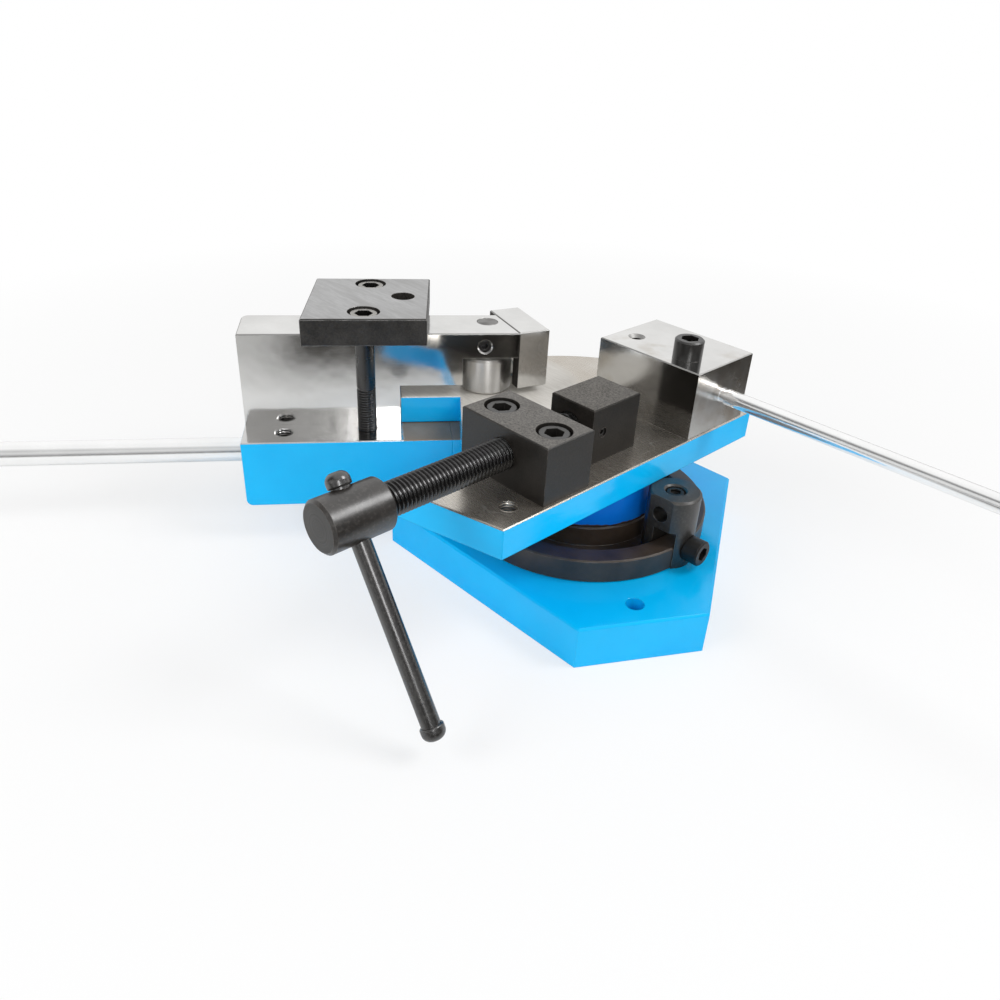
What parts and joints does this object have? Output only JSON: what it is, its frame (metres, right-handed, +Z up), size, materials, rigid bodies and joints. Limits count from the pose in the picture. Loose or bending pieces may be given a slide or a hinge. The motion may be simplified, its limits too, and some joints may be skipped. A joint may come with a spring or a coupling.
{
  "type": "universal bender",
  "caption": "Bench bender for flat bar: a turning table with a screw-driven clamping jaw and a pivoted swing arm that bends the work round a roller.",
  "frame": {"origin": "turntable axis at the underside of the base plate", "axes": "+Z up along the turntable axis; +Y the way the clamp screw pushes its jaw; +X towards the right lever"},
  "size_m": [0.7064, 0.503, 0.1512],
  "materials": {
    "blue_paint": "gloss paint, machined bright on working faces",
    "black_oxide": "blackened, satin",
    "polished_steel": "ground and polished",
    "ground_steel": "turned and ground",
    "chrome": "bright plated",
    "bronze": "turned bronze"
  },
  "bodies": {
    "base": {"base_plate": "blue_paint", "turntable_ring": "black_oxide", "ring_screws": "black_oxide", "turntable_bush": "bronze", "thrust_washer": "bronze"},
    "stop": {"stop_post": "black_oxide", "stop_clamp_screw": "black_oxide", "stop_set_screw": "black_oxide"},
    "table": {"table": "blue_paint", "king_post": "blue_paint", "king_retainer": "ground_steel", "retainer_screws": "black_oxide", "pivot_bush": "bronze", "screw_block": "black_oxide", "block_screws": "black_oxide", "counter_block": "polished_steel", "counter_block_screw": "black_oxide", "right_lever": "chrome"},
    "arm": {"swing_arm": "blue_paint", "pivot_lug": "blue_paint", "bending_beam": "polished_steel", "beam_screws": "black_oxide", "bending_nose": "polished_steel", "nose_screw": "black_oxide", "nose_dowel": "ground_steel", "hold_down_plate": "black_oxide", "hold_down_bolts": "black_oxide", "left_lever": "chrome", "pivot_pin": "ground_steel", "pin_set_screw": "black_oxide", "pin_washer": "ground_steel", "pin_circlip": "ground_steel", "pivot_washer": "bronze"},
    "roller": {"roller": "ground_steel", "roller_bush": "bronze"},
    "jaw": {"jaw": "black_oxide", "jaw_grub_screw": "black_oxide"},
    "clamp_screw": {"clamp_screw": "black_oxide"},
    "tommy_bar": {"tommy_bar": "black_oxide", "tommy_bar_knobs": "black_oxide"}
  },
  "joints": [
    {"name": "table_turn", "type": "hinge", "parent": "base", "child": "table", "pos_m": [0, 0, 0.045], "axis": [0, 0, 1], "range_deg": [-90, 90]},
    {"name": "stop_shift", "type": "hinge", "parent": "base", "child": "stop", "pos_m": [0, 0, 0.042], "axis": [0, 0, 1], "range_deg": [-20, 20]},
    {"name": "arm_swing", "type": "hinge", "parent": "table", "child": "arm", "pos_m": [-0.08628, -0.00953, 0.06], "axis": [0, 0, 1], "range_deg": [-100, 0]},
    {"name": "roller_spin", "type": "hinge", "parent": "arm", "child": "roller", "pos_m": [-0.08628, -0.00953, 0.1], "axis": [0, 0, 1], "continuous": true},
    {"name": "jaw_slide", "type": "slide", "parent": "table", "child": "jaw", "axis": [0, 1, 0], "range_m": [-0.017, 0.032]},
    {"name": "clamp_screw_turn", "type": "hinge", "parent": "jaw", "child": "clamp_screw", "pos_m": [0.0197, 0, 0.11], "axis": [0, 1, 0], "range_deg": [-2440, 4600]},
    {"name": "tommy_bar_slide", "type": "slide", "parent": "clamp_screw", "child": "tommy_bar", "axis": [-0.5505, 0, 0.8348], "range_m": [0, 0.093]}
  ],
  "couplings": [
    {"joint": "jaw_slide", "follows": "clamp_screw_turn", "m_per_rad": 0.00039789}
  ]
}
